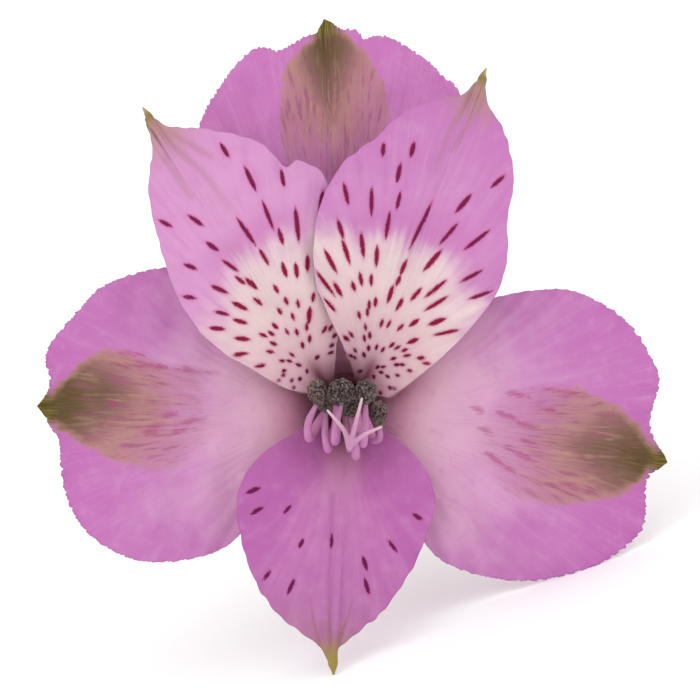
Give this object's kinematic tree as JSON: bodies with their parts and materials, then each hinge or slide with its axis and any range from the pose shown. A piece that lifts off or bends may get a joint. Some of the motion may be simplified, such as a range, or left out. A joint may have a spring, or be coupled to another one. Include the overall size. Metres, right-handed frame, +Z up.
{
  "type": "alstroemeria bloom on its cut pedicel",
  "caption": "Open alstroemeria bloom with broad toothed outer tepals, narrower flecked inner tepals, curved stamens and a cut stalk, lying down.",
  "frame": {"origin": "on the surface that the bloom lies on, under the middle of its box", "axes": "+Z up from the surface, +Y from the bloom's face towards the cut end of its pedicel, +X to the right of someone who looks at its face"},
  "size_m": [0.0658, 0.0942, 0.0645],
  "materials": {
    "outer_tepal": "soft lilac-pink petal with a brown-green patch towards its tip",
    "inner_tepal": "soft lilac-pink petal, whitish with crimson flecks towards the throat",
    "filament": "smooth, slightly waxy pink stalk",
    "anther": "grainy grey-brown pollen",
    "style": "smooth, slightly waxy pale pink",
    "green_parts": "smooth green stalk skin, flushed brown-purple"
  },
  "bodies": {
    "root": {"outer_tepal_top": "outer_tepal", "outer_tepal_left": "outer_tepal", "outer_tepal_right": "outer_tepal", "inner_tepal_left": "inner_tepal", "inner_tepal_right": "inner_tepal", "inner_tepal_lower": "inner_tepal", "filament_1": "filament", "filament_2": "filament", "filament_3": "filament", "filament_4": "filament", "filament_5": "filament", "filament_6": "filament", "anther_1": "anther", "anther_2": "anther", "anther_3": "anther", "anther_4": "anther", "anther_5": "anther", "anther_6": "anther", "style": "style", "ovary": "green_parts", "pedicel": "green_parts"}
  },
  "joints": []
}
